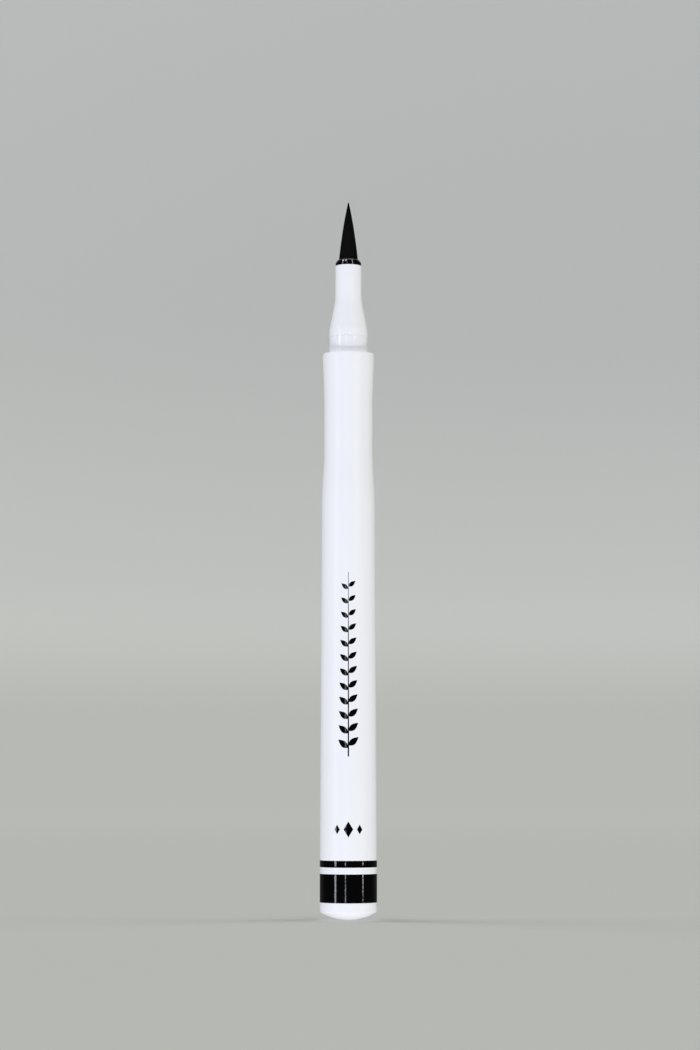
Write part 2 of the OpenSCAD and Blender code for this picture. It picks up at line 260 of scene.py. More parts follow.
def finish_piece(mesh_data, name, material, body, replaces):
    """Makes an object of the mesh, smooth but for real edges, and hands it to the frame."""
    piece = bpy.data.objects.new(name, mesh_data)
    bpy.context.scene.collection.objects.link(piece)
    mesh_data.materials.append(material)
    weighted = piece.modifiers.new("Even shading", "WEIGHTED_NORMAL")
    weighted.keep_sharp = True
    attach(piece, body)
    if replaces:
        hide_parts(*replaces)


def turned_mesh(name, outline, sides=TURNED_SIDES, swell=None):
    """A closed mesh turned round the axis. swell(radius, height, angle) can change the radius."""
    outline = without_repeats(outline)
    mesh = bmesh.new()
    rings = []
    for radius, height in outline:
        if radius < SAME_POINT:
            rings.append([mesh.verts.new((0, 0, height))])
            continue
        ring = []
        for i in range(sides):
            angle = 2 * math.pi * i / sides
            reach = swell(radius, height, angle) if swell else radius
            ring.append(mesh.verts.new((reach * math.sin(angle), -reach * math.cos(angle), height)))
        rings.append(ring)
    for low, high in zip(rings, rings[1:] + rings[:1]):
        for i in range(sides):
            j = (i + 1) % sides
            corners = [low[i % len(low)], low[j % len(low)], high[j % len(high)], high[i % len(high)]]
            corners = list(dict.fromkeys(corners))
            if len(corners) > 2:
                mesh.faces.new(corners)
    bmesh.ops.recalc_face_normals(mesh, faces=mesh.faces)
    for face in mesh.faces:
        face.smooth = True
    for edge in mesh.edges:
        edge.smooth = len(edge.link_faces) == 2 and edge.calc_face_angle(0) < SHARP_TURN
    data = bpy.data.meshes.new(name)
    mesh.to_mesh(data)
    mesh.free()
    return data


# Materials


def add_node(tree, kind, settings=None, links=None):
    """Adds a node. settings are its own values, links its inputs: a value or another node's output."""
    node = tree.nodes.new(kind)
    for name, value in (settings or {}).items():
        setattr(node, name, value)
    for name, value in (links or {}).items():
        socket = node.inputs[name]
        if isinstance(value, bpy.types.NodeSocket):
            tree.links.new(value, socket)
        else:
            socket.default_value = value
    return node


def new_material(name):
    """A material with an empty node tree, its output and its principled shader."""
    material = bpy.data.materials.new(name)
    material.use_nodes = True
    tree = material.node_tree
    tree.nodes.clear()
    shader = add_node(tree, "ShaderNodeBsdfPrincipled")
    add_node(tree, "ShaderNodeOutputMaterial", links={"Surface": shader.outputs["BSDF"]})
    return material, tree, shader


def per_metre(millimetres):
    """Scale of a texture whose features are about that many millimetres apart."""
    return 1 / (millimetres * MM)


def object_height(tree):
    """Height above the tail's lowest point, in metres."""
    place = add_node(tree, "ShaderNodeTexCoord")
    return add_node(
        tree, "ShaderNodeSeparateXYZ", links={"Vector": place.outputs["Object"]}
    ).outputs["Z"]


def grain(tree, spacing_mm, detail=3.0, squash=(1, 1, 1)):
    """Noise with features of a real size, squashed along the axes if asked."""
    place = add_node(tree, "ShaderNodeTexCoord")
    scaled = add_node(
        tree, "ShaderNodeMapping", links={"Vector": place.outputs["Object"], "Scale": squash}
    )
    return add_node(
        tree,
        "ShaderNodeTexNoise",
        links={"Vector": scaled.outputs["Vector"], "Scale": per_metre(spacing_mm), "Detail": detail},
    )


def between(tree, source, low, high):
    """The source's 0 to 1 spread between two values."""
    return add_node(
        tree, "ShaderNodeMapRange", links={"Value": source, "To Min": low, "To Max": high}
    ).outputs["Result"]


def mixed(tree, share, a, b):
    """Colour between a and b. The mix node's colours are its inputs 6 and 7 and its output 2."""
    return add_node(
        tree,
        "ShaderNodeMix",
        settings={"data_type": "RGBA"},
        links={0: share, 6: a, 7: b},
    ).outputs[2]


def mixed_value(tree, share, a, b):
    """Value between a and b. The mix node's values are its inputs 2 and 3 and its output 0."""
    return add_node(tree, "ShaderNodeMix", links={0: share, 2: a, 3: b}).outputs[0]


def bumped(tree, shader, height, depth_mm, strength=1.0):
    """Gives the shader's surface that relief."""
    bump = add_node(
        tree,
        "ShaderNodeBump",
        links={"Height": height, "Distance": depth_mm * MM, "Strength": strength},
    )
    tree.links.new(bump.outputs["Normal"], shader.inputs["Normal"])


def shade(tint, factor):
    """The colour made darker or lighter."""
    return (*(min(1.0, part * factor) for part in tint[:3]), 1.0)


def moulded_abs(tint, polished=None):
    """ABS, injection moulded: a soft gloss with the faint ripple and flow shades of the mould.

    polished gives the lowest and highest point of a ring on which the mould was polished.
    """
    material, tree, shader = new_material("ABS_moulded_white" + ("_polished_seat" if polished else ""))
    flow = grain(tree, 9, squash=(1, 1, 0.25))
    tree.links.new(
        mixed(tree, flow.outputs["Fac"], shade(tint, 0.975), shade(tint, 1.02)),
        shader.inputs["Base Color"],
    )
    # Handling leaves the gloss uneven by a few hundredths, in patches of some millimetres
    patches = grain(tree, 2.4, detail=5.0)
    rough = between(tree, patches.outputs["Fac"], 0.27, 0.41)
    shader.inputs["IOR"].default_value = 1.53
    # The mould's fine texture keeps part of the gloss from the flanks
    shader.inputs["Specular IOR Level"].default_value = 0.3
    if polished:
        low, top = polished
        ring = add_node(
            tree,
            "ShaderNodeMath",
            settings={"operation": "COMPARE"},
            links={0: object_height(tree), 1: (low + top) / 2, 2: (top - low) / 2},
        ).outputs["Value"]
        rough = mixed_value(tree, ring, rough, 0.15)
        tree.links.new(between(tree, ring, 0.3, 0.5), shader.inputs["Specular IOR Level"])
    tree.links.new(rough, shader.inputs["Roughness"])
    # Mould ripple: about 0.35 mm from crest to crest and half a micron deep
    ripple = grain(tree, 0.35, detail=2.0)
    bumped(tree, shader, ripple.outputs["Fac"], 0.0009, 0.6)
    return material


def stamped_foil(tint):
    """Black foil, hot stamped: a wet gloss over plastic that ripples a little under it."""
    material, tree, shader = new_material("Foil_black_hot_stamped")
    # Hairline rubs run round the pen
    rubs = grain(tree, 0.9, detail=6.0, squash=(0.12, 0.12, 9))
    tree.links.new(between(tree, rubs.outputs["Fac"], 0.05, 0.1), shader.inputs["Roughness"])
    tree.links.new(
        mixed(tree, rubs.outputs["Fac"], shade(tint, 0.8), shade(tint, 1.35)),
        shader.inputs["Base Color"],
    )
    shader.inputs["IOR"].default_value = 1.5
    # The ripple breaks a narrow lamp's reflection into dots about a third of a millimetre apart
    ripple = grain(tree, 0.34, detail=1.0)
    bumped(tree, shader, ripple.outputs["Fac"], 0.005)
    return material


def moulded_black(tint):
    """Polypropylene, moulded black: gloss with a slight mould ripple."""
    material, tree, shader = new_material("Polypropylene_moulded_black")
    ripple = grain(tree, 0.25)
    tree.links.new(between(tree, ripple.outputs["Fac"], 0.02, 0.05), shader.inputs["Roughness"])
    tree.links.new(
        mixed(tree, ripple.outputs["Fac"], shade(tint, 0.85), shade(tint, 1.3)),
        shader.inputs["Base Color"],
    )
    shader.inputs["IOR"].default_value = 1.49
    bumped(tree, shader, ripple.outputs["Fac"], 0.0008, 0.5)
    return material


def inked_fibre(tint, strand):
    """Polyester fibre, bonded and ground to a point: lengthwise strands, wet with ink."""
    material, tree, shader = new_material("Polyester_fibre_ground_inked")
    # The strands run up the nib, so the noise is stretched ten times along it
    strands = grain(tree, strand / MM, detail=4.0, squash=(1, 1, 0.1))
    tree.links.new(
        mixed(tree, strands.outputs["Fac"], shade(tint, 0.5), shade(tint, 1.9)),
        shader.inputs["Base Color"],
    )
    tree.links.new(between(tree, strands.outputs["Fac"], 0.38, 0.62), shader.inputs["Roughness"])
    shader.inputs["IOR"].default_value = 1.45
    # Most of the gloss is lost between the strands
    shader.inputs["Specular IOR Level"].default_value = 0.14
    bumped(tree, shader, strands.outputs["Fac"], 0.012, 0.8)
    return material


def moulded_natural(tint):
    """Polypropylene, moulded in its natural colour: a milky white with faint clouds."""
    material, tree, shader = new_material("Polypropylene_moulded_natural")
    cloud = grain(tree, 1.6)
    tree.links.new(
        mixed(tree, cloud.outputs["Fac"], shade(tint, 0.93), shade(tint, 1.04)),
        shader.inputs["Base Color"],
    )
    tree.links.new(between(tree, cloud.outputs["Fac"], 0.35, 0.5), shader.inputs["Roughness"])
    shader.inputs["IOR"].default_value = 1.49
    return material


def moulded_rubber(tint):
    """Nitrile rubber, moulded: matte, with a fine powdery grain."""
    material, tree, shader = new_material("Nitrile_rubber_moulded")
    powder = grain(tree, 0.08)
    tree.links.new(
        mixed(tree, powder.outputs["Fac"], shade(tint, 0.8), shade(tint, 1.3)),
        shader.inputs["Base Color"],
    )
    tree.links.new(between(tree, powder.outputs["Fac"], 0.6, 0.8), shader.inputs["Roughness"])
    shader.inputs["IOR"].default_value = 1.52
    return material


def polished_steel(tint):
    """Stainless steel, ground and polished as a bearing ball: a mirror with hairline marks."""
    material, tree, shader = new_material("Stainless_steel_polished")
    marks = grain(tree, 0.6, detail=8.0)
    tree.links.new(between(tree, marks.outputs["Fac"], 0.04, 0.16), shader.inputs["Roughness"])
    tree.links.new(
        mixed(tree, marks.outputs["Fac"], shade(tint, 0.92), shade(tint, 1.05)),
        shader.inputs["Base Color"],
    )
    shader.inputs["Metallic"].default_value = 1.0
    return material


def made_once(name, make, *values):
    """The material of that name, made the first time that it is asked for."""
    return bpy.data.materials.get(name) or make(*values)


def white_plastic():
    """The white plastic of the barrel and the tail plug."""
    return made_once("ABS_moulded_white", moulded_abs, bpy.context.scene.pen_colours.white)


# Outlines of the turned pieces


def barrel_outside(sizes):
    """Outside of the barrel, from the seam at the tail to the front rim."""
    radius = BARREL_TOP.x
    groove = radius - sizes.band_t
    rim = sizes.rim_d / 2
    rim_edge = 2 * sizes.edge
    waist_top = BARREL_TOP.z - sizes.flare_len
    waist_low = waist_top - sizes.waist_len
    shoulder = waist_low - sizes.slope_len
    # The taper starts in a bend that reaches a millimetre to each side, and drops this much in it
    straight_end = BARREL_LOW.z + sizes.straight_len
    taper_drop = 0.0053 * MM
    steps = [
        (groove, BARREL_LOW.z),
        (groove, WIDE_TOP.z),
        (radius, WIDE_TOP.z),
        (radius, NARROW_LOW.z),
        (groove, NARROW_LOW.z),
        (groove, NARROW_TOP.z),
        (radius, NARROW_TOP.z),
    ]
    return (
        rounded(steps, sizes.edge / 2, (2, 3, 6))
        + bend(
            (radius, straight_end - MM),
            (radius, straight_end),
            (radius - taper_drop, straight_end + MM),
            ARC_STEPS,
        )
        + slope((sizes.shoulder_d / 2, shoulder), (sizes.waist_d / 2, waist_low))
        + slope((sizes.waist_d / 2, waist_top), (rim, BARREL_TOP.z - rim_edge))
        + corner((rim, BARREL_TOP.z - rim_edge), (rim, BARREL_TOP.z), (0, BARREL_TOP.z), rim_edge)
    )


def barrel_outline(sizes):
    """Section of the barrel: its outside, then the bores from the rim down to the tail."""
    recess = sizes.flange_d / 2 + sizes.fit
    flange_low = BARREL_TOP.z - sizes.flange_t
    tail_mouth = BARREL_LOW.z + sizes.tail_bore_depth
    bores = [
        (recess, BARREL_TOP.z),
        (recess, flange_low),
        (sizes.front_bore_d / 2, flange_low),
        (sizes.front_bore_d / 2, STOPPER_LOW.z),
        (sizes.tank_bore_d / 2, STOPPER_LOW.z),
        (sizes.tank_bore_d / 2, tail_mouth),
        (sizes.tail_bore_d / 2, tail_mouth),
        (sizes.tail_bore_d / 2, BARREL_LOW.z),
    ]
    return barrel_outside(sizes) + rounded(bores, sizes.edge / 2, (0,))


def radius_at(outside, height):
    """Radius of an outside outline at a height."""
    for (r0, z0), (r1, z1) in zip(outside, outside[1:]):
        if z0 <= height <= z1 and z1 > z0:
            return r0 + (r1 - r0) * (height - z0) / (z1 - z0)
    raise ValueError(f"the outline doesn't reach {height}")


def tail_outline(sizes):
    """Section of the tail plug: the dome, the straight edge, the spigot and its dished cup."""
    radius = TAIL_TOP.x
    spigot = sizes.tail_bore_d / 2 - sizes.fit
    cup = spigot - sizes.spigot_wall
    dome = (radius**2 + sizes.dome_h**2) / (2 * sizes.dome_h)
    reach = math.asin(radius / dome)
    arc = [
        (dome * math.sin(reach * i / CURVE_STEPS), dome * (1 - math.cos(reach * i / CURVE_STEPS)))
        for i in range(CURVE_STEPS)
    ]
    # The seal's groove, halfway up the spigot, is a little less deep than it is wide
    seal = (BARREL_LOW.z + TAIL_TOP.z) / 2
    seal_low, seal_top = seal - sizes.seal_t / 2, seal + sizes.seal_t / 2
    groove = spigot + sizes.fit - 0.8 * sizes.seal_t
    steps = [
        arc[-1],
        (radius, sizes.dome_h),
        (radius, BARREL_LOW.z),
        (spigot, BARREL_LOW.z),
        (spigot, seal_low),
        (groove, seal_low),
        (groove, seal_top),
        (spigot, seal_top),
        (spigot, TAIL_TOP.z),
        (cup, TAIL_TOP.z),
    ]
    floor = bend((cup, sizes.end_wall + sizes.dish_h), (cup / 2, sizes.end_wall), (0, sizes.end_wall))
    return arc[:-1] + rounded(steps, sizes.edge, (1, 2, 8, 9)) + floor


def band_outline(low, top, sizes):
    """Section of a band: a flat strip with broken outer edges."""
    radius = top.x
    groove = radius - sizes.band_t
    steps = [(groove, low.z), (radius, low.z), (radius, top.z), (groove, top.z)]
    return rounded(steps, sizes.edge / 2, (1, 2))


def section_outline(sizes):
    """Section of the front section: skirt, flange, neck, bell and sleeve, then back down inside."""
    skirt = sizes.front_bore_d / 2 - sizes.fit
    skirt_bore = skirt - sizes.skirt_wall
    flange = sizes.flange_d / 2
    neck, bell, sleeve = sizes.neck_d / 2, sizes.bell_d / 2, sizes.sleeve_d / 2
    rim = BARREL_TOP.z
    flange_low = rim - sizes.flange_t
    seat = rim + sizes.snap_len
    bell_low = seat + sizes.seat_len
    bell_top = bell_low + sizes.bell_len
    # The cone turns sharply into the bell's foot and softly into the sleeve
    foot_turn = 0.02 * sizes.bell_len
    head_turn = 0.165 * sizes.bell_len
    foot = (bell, bell_low + sizes.bell_foot_len)
    head = (sleeve, bell_top - head_turn)
    lean = (Vector(head) - Vector(foot)) / (head[1] - foot[1])
    foot_end = Vector(foot) + lean * foot_turn
    head_start = Vector(head) - lean * head_turn
    sleeve_bore = sleeve - sizes.sleeve_wall
    # Inside, a cone leads from the throat, just below the tip holder, down to a ledge
    throat = HOLDER_LOW.z - 0.3 * MM
    ledge = 0.6 * MM
    # The snap groove starts just above the rim
    snap_low = rim + 0.2 * MM
    lower = [
        (skirt_bore, SECTION_LOW.z),
        (skirt, SECTION_LOW.z),
        (skirt, flange_low),
        (flange, flange_low),
        (flange, rim),
        (neck, rim),
    ]
    upper = [
        (neck, seat),
        (neck, bell_low - sizes.bell_step),
        (neck - sizes.part_line, bell_low),
        (neck - sizes.part_line, bell_low + sizes.part_line),
        (neck - sizes.bell_step, bell_low + 2 * sizes.part_line),
    ]
    top = [
        (sleeve, bell_top),
        (sleeve, SECTION_TOP.z),
        (sleeve_bore, SECTION_TOP.z),
        (sleeve_bore, throat),
        (skirt_bore - ledge, flange_low),
        (skirt_bore, flange_low),
    ]
    return (
        rounded(lower, sizes.edge, (4,))
        + bend((neck, snap_low), (neck - 2 * sizes.snap_depth, (rim + seat) / 2), (neck, seat))
        + upper
        + bend((bell, foot[1] - foot_turn), foot, tuple(foot_end))
        + bend(tuple(head_start), head, (sleeve, bell_top))
        + rounded(top, sizes.edge, (1, 2))
    )


def holder_outline(sizes):
    """Section of the tip holder: its stem, the bevelled collar, and the nib's recess."""
    bore = sizes.shank_d / 2 + sizes.fit
    stem = sizes.sleeve_d / 2 - sizes.sleeve_wall - sizes.fit
    collar = HOLDER_TOP.x
    recess = sizes.nib_d / 2 + sizes.fit
    seat = HOLDER_TOP.z - sizes.nib_inset
    bevel_foot = Vector((collar, HOLDER_TOP.z - sizes.collar_bevel))
    bevel_head = Vector((recess + sizes.collar_land, HOLDER_TOP.z))
    break_low = bevel_head + (bevel_foot - bevel_head).normalized() * sizes.collar_break
    steps = [
        (bore, HOLDER_LOW.z),
        (stem, HOLDER_LOW.z),
        (stem, SECTION_TOP.z),
        (collar, SECTION_TOP.z),
        tuple(bevel_foot),
        tuple(break_low),
        (bevel_head.x - sizes.collar_break / 3, HOLDER_TOP.z),
        (recess, HOLDER_TOP.z),
        (recess, seat),
        (bore, seat),
    ]
    return rounded(steps, sizes.edge / 2, (1, 3, 4, 5, 6, 7))


def nib_outline(sizes):
    """Section of the nib: socket, shank, shoulder, and a point with an ogive's curve."""
    radius = sizes.nib_d / 2
    shank = sizes.shank_d / 2
    socket_gap = 0.05 * MM
    socket = CORE_TOP.x + socket_gap
    seat = HOLDER_TOP.z - sizes.nib_inset
    exposed = NIB_TOP.z - HOLDER_TOP.z
    lower = [
        (0, CORE_TOP.z),
        (socket, CORE_TOP.z),
        (socket, NIB_LOW.z),
        (shank, NIB_LOW.z),
        (shank, seat),
        (radius, seat),
    ]
    # The flank bends towards the belly, and the tip is blunt by some hundredths of a millimetre
    belly = (0.62 * radius, HOLDER_TOP.z + 0.58 * exposed)
    tip = [
        (0.045 * radius, NIB_TOP.z - 0.05 * MM),
        (0.02 * radius, NIB_TOP.z - 0.01 * MM),
        (0, NIB_TOP.z),
    ]
    flank = bend((radius, HOLDER_TOP.z), belly, tip[0], 4 * CURVE_STEPS)
    return rounded(lower, sizes.edge, (3,)) + flank + tip[1:]


# Printed ornament


def add_strip(mesh, left, right, place):
    """A thin closed film between two edges that run side by side, laid on the barrel."""
    across = 6
    sheets = []
    for lift in (1, 0):
        rows = []
        for a, b in zip(left, right):
            row = []
            for i in range(across + 1):
                share = i / across
                point = tuple(p + (q - p) * share for p, q in zip(a, b))
                row.append(mesh.verts.new(place(*point, lift)))
            rows.append(row)
        sheets.append(rows)
    outer, inner = sheets
    last = len(outer) - 1
    for i in range(last):
        for j in range(across):
            for rows in sheets:
                mesh.faces.new([rows[i][j], rows[i][j + 1], rows[i + 1][j + 1], rows[i + 1][j]])
        for j in (0, across):
            mesh.faces.new([outer[i][j], outer[i + 1][j], inner[i + 1][j], inner[i][j]])
    for i in (0, last):
        for j in range(across):
            mesh.faces.new([outer[i][j], outer[i][j + 1], inner[i][j + 1], inner[i][j]])


def leaf_edges(base, lean, reach, width):
    """Left and right edge of a pointed leaf that grows from base at an angle off the axis."""
    steps = 14
    # A swelling below 1 puts the widest place below the middle, and the ends aren't quite sharp
    swelling = 0.8
    blunt = 0.04
    along = Vector((math.sin(lean), math.cos(lean)))
    side = Vector((along.y, -along.x))
    left, right = [], []
    for i in range(steps + 1):
        t = i / steps
        half = width / 2 * (math.sin(math.pi * t**swelling) + blunt)
        middle = Vector(base) + along * reach * t
        left.append(tuple(middle - side * half))
        right.append(tuple(middle + side * half))
    return left, right


def sprig(mesh, place, low, top, width):
    """A stem with pairs of leaves that get smaller towards its tip."""
    steps = 60
    pairs = 12
    # The stem's width, the share of it that the foot has, and the share that is lost by the tip
    stem = 0.22 * MM
    foot_share, loss = 1.15, 0.75
    # Pairs of leaves stand on this share of the stem, the first pair this far up its own stretch
    leafy_share, first = 0.94, 0.6
    # Leaves lean out, shrink by this share up the stem, and start inside it, the right ones higher
    lean = math.radians(50)
    shrink, root_share = 0.35, 0.4
    stagger = 0.45 * MM
    leaf_reach, leaf_width = 0.63 * width, 0.3 * width
    left, right = [], []
    for i in range(steps + 1):
        t = i / steps
        height = low + (top - low) * t
        half = stem / 2 * (foot_share - loss * t)
        left.append((-half, height))
        right.append((half, height))
    add_strip(mesh, left, right, place)
    for i in range(pairs):
        t = (i + first) / pairs
        size = 1 - shrink * t
        height = low + (top - low) * t * leafy_share
        for side in (-1, 1):
            start = (side * stem * root_share, height + (stagger if side > 0 else 0))
            edges = leaf_edges(start, side * lean, leaf_reach * size, leaf_width * size)
            add_strip(mesh, *edges, place)


def lozenge(mesh, place, centre, half_width, half_height):
    """A diamond shape, a little blunt at its ends."""
    steps = 10
    blunt = 0.02 * MM
    left, right = [], []
    for i in range(steps + 1):
        t = i / steps
        half = half_width * (1 - abs(2 * t - 1)) + blunt
        height = centre[1] - half_height + 2 * half_height * t
        left.append((centre[0] - half, height))
        right.append((centre[0] + half, height))
    add_strip(mesh, left, right, place)


# Operators


class PEN_OT_barrel(bpy.types.Operator):
    """Barrel with its finger waist, flared rim and bores"""

    bl_idname = "pen.barrel"
    bl_label = "Barrel"

    def execute(self, context):
        data = turned_mesh("barrel_shell", barrel_outline(context.scene.pen_sizes))
        finish_piece(data, "barrel_shell", white_plastic(), "pen", ["barrel"])
        return {"FINISHED"}


class PEN_OT_tail(bpy.types.Operator):
    """Tail plug with its domed end and hollow spigot"""

    bl_idname = "pen.tail"
    bl_label = "Tail plug"

    def execute(self, context):
        data = turned_mesh("tail_dome", tail_outline(context.scene.pen_sizes))
        finish_piece(data, "tail_dome", white_plastic(), "pen", ["tail_plug"])
        return {"FINISHED"}


class PEN_OT_bands(bpy.types.Operator):
    """Wide and narrow black bands"""

    bl_idname = "pen.bands"
    bl_label = "Bands"

    def execute(self, context):
        sizes = context.scene.pen_sizes
        black = made_once("Foil_black_hot_stamped", stamped_foil, context.scene.pen_colours.black)
        for name, low, top, node in (
            ("band_wide", WIDE_LOW, WIDE_TOP, "wide_band"),
            ("band_narrow", NARROW_LOW, NARROW_TOP, "narrow_band"),
        ):
            data = turned_mesh(name, band_outline(low, top, sizes))
            finish_piece(data, name, black, "pen", [node])
        return {"FINISHED"}


class PEN_OT_section(bpy.types.Operator):
    """Front section: the neck, the bell and the sleeve, with the skirt inside the barrel"""

    bl_idname = "pen.section"
    bl_label = "Front section"

    def execute(self, context):
        sizes, tints = context.scene.pen_sizes, context.scene.pen_colours
        seat = BARREL_TOP.z + sizes.snap_len
        white = moulded_abs(tints.white, (seat, seat + sizes.seat_len))
        data = turned_mesh("section_shell", section_outline(sizes))
        finish_piece(data, "section_shell", white, "pen", ["front_section"])
        return {"FINISHED"}


class PEN_OT_holder(bpy.types.Operator):
    """Black collar that holds the nib"""

    bl_idname = "pen.holder"
    bl_label = "Tip holder"

    def execute(self, context):
        sizes, tints = context.scene.pen_sizes, context.scene.pen_colours
        black = made_once("Polypropylene_moulded_black", moulded_black, tints.black)
        data = turned_mesh("tip_collar", holder_outline(sizes))
        finish_piece(data, "tip_collar", black, "pen", ["tip_holder"])
        return {"FINISHED"}


class PEN_OT_nib(bpy.types.Operator):
    """Pointed fibre nib with its lengthwise strands"""

    bl_idname = "pen.nib"
    bl_label = "Nib"

    def execute(self, context):
        sizes, tints = context.scene.pen_sizes, context.scene.pen_colours
        seed = context.scene.pen_stage.seed
        strands = round(math.pi * sizes.nib_d / sizes.fibre)
        sides_per_strand = 6
        seat = HOLDER_TOP.z - sizes.nib_inset / 2
        # The strands' wave shifts by up to this angle over some millimetres, and fades at the tip
        wander = 2.2
        wander_len = 4 * MM
        fade_radius = 0.4 * MM

        def swell(radius, height, angle):
            if height < seat:
                return radius
            place = Vector((math.sin(angle), math.cos(angle), height / wander_len + seed))
            wave = (1 - math.cos(strands * angle + wander * noise.noise(place))) / 2
            return radius - sizes.fibre_depth * wave * min(1, radius / fade_radius)

        sides = sides_per_strand * strands
        data = turned_mesh("nib_fibre", nib_outline(sizes), sides=sides, swell=swell)
        fibre = made_once("Polyester_fibre_ground_inked", inked_fibre, tints.fibre, sizes.fibre)
        finish_piece(data, "nib_fibre", fibre, "pen", ["fibre_tip"])
        return {"FINISHED"}


class PEN_OT_print(bpy.types.Operator):
    """Printed sprig along the barrel and three lozenges above the bands"""

    bl_idname = "pen.print"
    bl_label = "Printed ornament"

    def execute(self, context):
        sizes, tints = context.scene.pen_sizes, context.scene.pen_colours
        outside = barrel_outside(sizes)

        def place(side, height, lift):
            radius = radius_at(outside, height)
            reach = radius + (sizes.print_t if lift else -sizes.print_t)
            angle = side / radius
            return (reach * math.sin(angle), -reach * math.cos(angle), height)

        mesh = bmesh.new()
        sprig(mesh, place, sizes.sprig_low, sizes.sprig_top, sizes.sprig_w)
        small = 0.6
        for side, size in ((-1, small), (0, 1), (1, small)):
            centre = (side * sizes.lozenge_gap, sizes.lozenge_rise)
            lozenge(mesh, place, centre, size * sizes.lozenge_w / 2, size * sizes.lozenge_h / 2)
        bmesh.ops.recalc_face_normals(mesh, faces=mesh.faces)
        data = bpy.data.meshes.new("print_sprig")
        mesh.to_mesh(data)
        mesh.free()
        black = made_once("Foil_black_hot_stamped", stamped_foil, tints.black)
        finish_piece(data, "print_sprig", black, "pen", [])
        return {"FINISHED"}


class PEN_OT_inside(bpy.types.Operator):
    """Finishes of the pieces inside: collector, stopper, feed core, seal and ball"""

    bl_idname = "pen.inside"
    bl_label = "Inner pieces"

    def execute(self, context):
        tints = context.scene.pen_colours
        natural = made_once("Polypropylene_moulded_natural", moulded_natural, tints.natural)
        rubber = made_once("Nitrile_rubber_moulded", moulded_rubber, tints.rubber)
        steel = made_once("Stainless_steel_polished", polished_steel, tints.steel)
        fibre = made_once(
            "Polyester_fibre_ground_inked", inked_fibre, tints.fibre, context.scene.pen_sizes.fibre
        )
        finishes = {
            "collector": natural,
            "tank_stopper": natural,
            "feed_core": fibre,
            "tail_seal": rubber,
            "mixing_ball": steel,
        }
        for node, material in finishes.items():
            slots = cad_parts[node].data.materials
            slots.clear()
            slots.append(material)
        return {"FINISHED"}


class PEN_OT_stage(bpy.types.Operator):
    """Floor and sweep, soft lamps, world and camera"""

    bl_idname = "pen.stage"
    bl_label = "Stage"

    def execute(self, context):
        tint = context.scene.pen_colours.backdrop
        sweep = make_sweep(tint)
        make_world(tint)
        make_lamps(sweep)
        make_camera(context.scene.pen_stage)
        context.scene.view_settings.view_transform = "Standard"
        return {"FINISHED"}


# Stage


def sweep_material(tint):
    """Matte paper sweep, with painted shade round the pen and painted light where it turns up from the
    table.
    """
    material, tree, shader = new_material("Paper_sweep_matte_painted_light")
    # The painted shade lies round a place behind the pen and fades out between two distances, in
    # metres
    painted_shade_share = 0.885
    painted_shade_centre = (0, 0.3, 0)
    painted_shade_reach, painted_shade_end = 0.1, 1.3
    # The ramp paints light on the sweep by height: darker on the floor, paler where it turns up from
    # the table
    ramp = add_node(tree, "ShaderNodeValToRGB", links={"Fac": object_height(tree)})
    ramp.color_ramp.interpolation = "EASE"
    stops = ramp.color_ramp.elements
    for i, (rise, factor) in enumerate(SWEEP_PAINTED_LIGHT):
        stop = stops[i] if i < len(stops) else stops.new(rise)
        stop.position = rise
        stop.color = shade(tint, factor)
    place = add_node(tree, "ShaderNodeTexCoord")
    reach = add_node(
        tree,
        "ShaderNodeVectorMath",
        settings={"operation": "DISTANCE"},
        links={0: place.outputs["Object"], 1: painted_shade_centre},
    )
    away = add_node(
        tree,
        "ShaderNodeMapRange",
        settings={"interpolation_type": "SMOOTHSTEP"},
        links={"Value": reach.outputs["Value"], "From Min": painted_shade_reach, "From Max": painted_shade_end},
    )
    # Painted shade round the pen, laid over the ramp's painted light
    tree.links.new(
        mixed(tree, away.outputs["Result"], shade(tint, painted_shade_share), ramp.outputs["Color"]),
        shader.inputs["Base Color"],
    )
    shader.inputs["Roughness"].default_value = 1.0
    shader.inputs["Specular IOR Level"].default_value = 0.0
    return material


def make_sweep(tint):
    """A floor that turns up into a wall all round the pen."""
    floor_radius, turn_radius, wall_height = 1.6, 0.9, 1.6
    turn_steps, sides = 24, 96
    wall = floor_radius + turn_radius
    outline = [(0, 0), (floor_radius / 2, 0)]
    outline += bend((floor_radius, 0), (wall, 0), (wall, turn_radius), turn_steps)
    outline += [(wall, wall_height)]
    mesh = bmesh.new()
    turns = [2 * math.pi * i / sides for i in range(sides)]
    rings = []
    for radius, height in outline:
        ring = [(radius * math.sin(t), radius * math.cos(t), height) for t in turns]
        rings.append([mesh.verts.new(point) for point in (ring if radius else ring[:1])])
    for low, high in zip(rings, rings[1:]):
        for i in range(sides):
            j = (i + 1) % sides
            corners = [low[i % len(low)], low[j % len(low)], high[j], high[i]]
            mesh.faces.new(list(dict.fromkeys(corners)))
    for face in mesh.faces:
        face.smooth = True
    data = bpy.data.meshes.new("sweep")
    mesh.to_mesh(data)
    mesh.free()
    data.materials.append(sweep_material(tint))
    sweep = bpy.data.objects.new("sweep", data)
    bpy.context.scene.collection.objects.link(sweep)
    sweep.visible_diffuse = False
    sweep.visible_glossy = False
    sweep.visible_shadow = False
    return sweep


